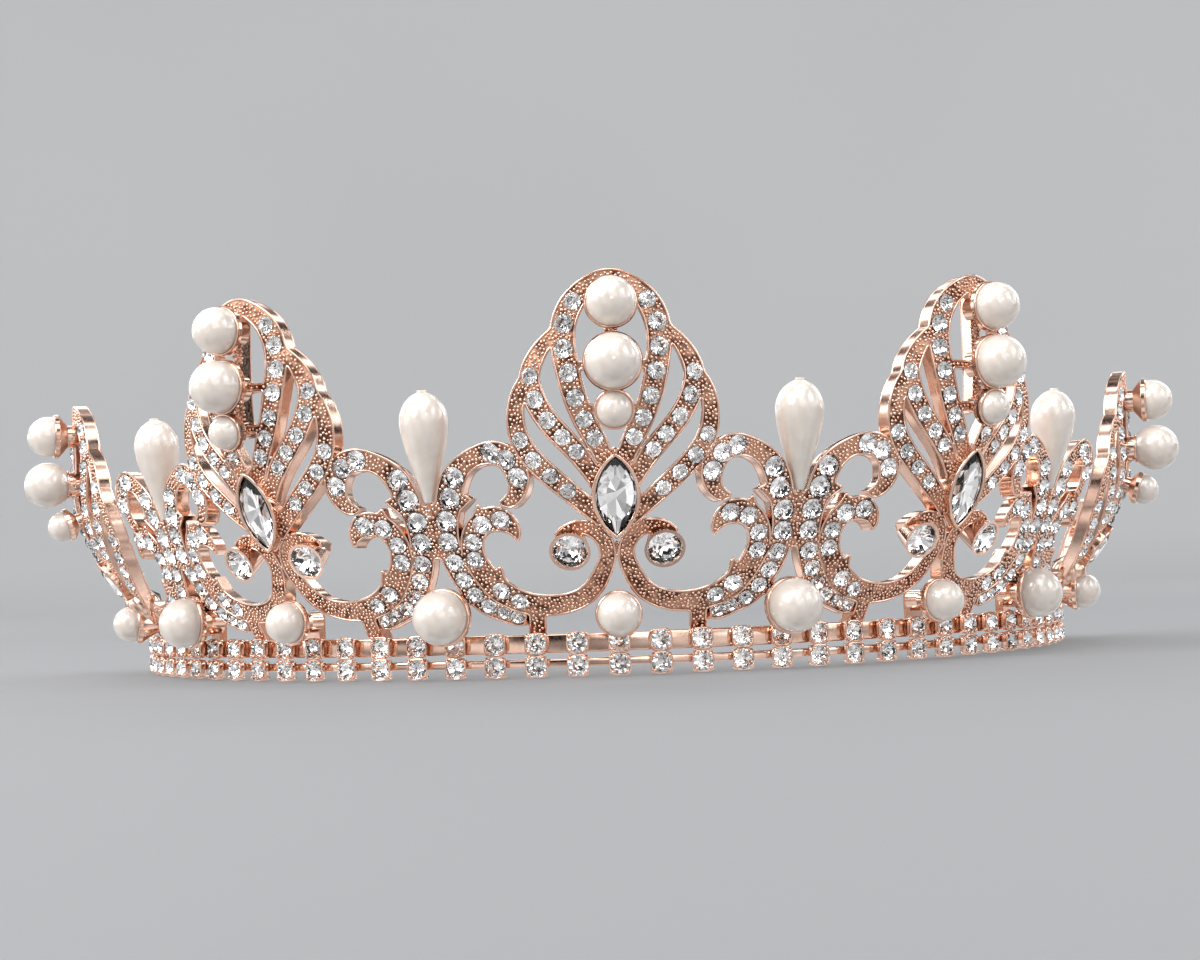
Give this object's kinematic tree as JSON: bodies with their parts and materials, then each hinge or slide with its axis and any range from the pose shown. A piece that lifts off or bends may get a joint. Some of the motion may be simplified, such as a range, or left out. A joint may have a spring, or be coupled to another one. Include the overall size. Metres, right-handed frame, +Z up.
{
  "type": "bridal tiara",
  "caption": "Open-backed bridal tiara: leaf-shaped palmettes and scrolled drop ornaments with pearls and crystals stand on a curved jewelled band that rests on the head.",
  "frame": {"origin": "centre of the band's circle, on the plane that the claw cups stand on", "axes": "+Z up, the front of the tiara faces -Y, +X is the viewer's right when facing the front"},
  "size_m": [0.1792, 0.0937, 0.0522],
  "materials": {
    "cast_rose_gold": "rose-gold plated casting, fine pebbled grain with polished raised rims",
    "polished_rose_gold": "polished rose-gold plating",
    "crystal": "clear faceted crystal with a mirror back",
    "ivory_pearl": "satin ivory pearl lustre"
  },
  "bodies": {
    "root": {"band_claw_cups": "polished_rose_gold", "band_crystals": "crystal", "base_pearl_cups_large": "cast_rose_gold", "base_pearl_cups_small": "cast_rose_gold", "base_pearls_large": "ivory_pearl", "base_pearls_small": "ivory_pearl", "drop_crystals_inner_left": "crystal", "drop_crystals_inner_right": "crystal", "drop_crystals_outer_left": "crystal", "drop_crystals_outer_right": "crystal", "drop_frame_inner_left": "cast_rose_gold", "drop_frame_inner_right": "cast_rose_gold", "drop_frame_outer_left": "cast_rose_gold", "drop_frame_outer_right": "cast_rose_gold", "drop_pearl_inner_left": "ivory_pearl", "drop_pearl_inner_right": "ivory_pearl", "drop_pearl_outer_left": "ivory_pearl", "drop_pearl_outer_right": "ivory_pearl", "end_eyelet_left": "polished_rose_gold", "end_eyelet_right": "polished_rose_gold", "left_scroll_centre": "cast_rose_gold", "left_scroll_far_left": "cast_rose_gold", "left_scroll_far_right": "cast_rose_gold", "left_scroll_left": "cast_rose_gold", "left_scroll_right": "cast_rose_gold", "lower_rail": "polished_rose_gold", "marquise_crystal_centre": "crystal", "marquise_crystal_far_left": "crystal", "marquise_crystal_far_right": "crystal", "marquise_crystal_left": "crystal", "marquise_crystal_right": "crystal", "palmette_centre": "cast_rose_gold", "palmette_crystals_centre": "crystal", "palmette_crystals_far_left": "crystal", "palmette_crystals_far_right": "crystal", "palmette_crystals_left": "crystal", "palmette_crystals_right": "crystal", "palmette_far_left": "cast_rose_gold", "palmette_far_right": "cast_rose_gold", "palmette_left": "cast_rose_gold", "palmette_pearls_centre": "ivory_pearl", "palmette_pearls_far_left": "ivory_pearl", "palmette_pearls_far_right": "ivory_pearl", "palmette_pearls_left": "ivory_pearl", "palmette_pearls_right": "ivory_pearl", "palmette_right": "cast_rose_gold", "right_scroll_centre": "cast_rose_gold", "right_scroll_far_left": "cast_rose_gold", "right_scroll_far_right": "cast_rose_gold", "right_scroll_left": "cast_rose_gold", "right_scroll_right": "cast_rose_gold", "scroll_crystals_centre": "crystal", "scroll_crystals_far_left": "crystal", "scroll_crystals_far_right": "crystal", "scroll_crystals_left": "crystal", "scroll_crystals_right": "crystal", "upper_rail": "polished_rose_gold"}
  },
  "joints": []
}
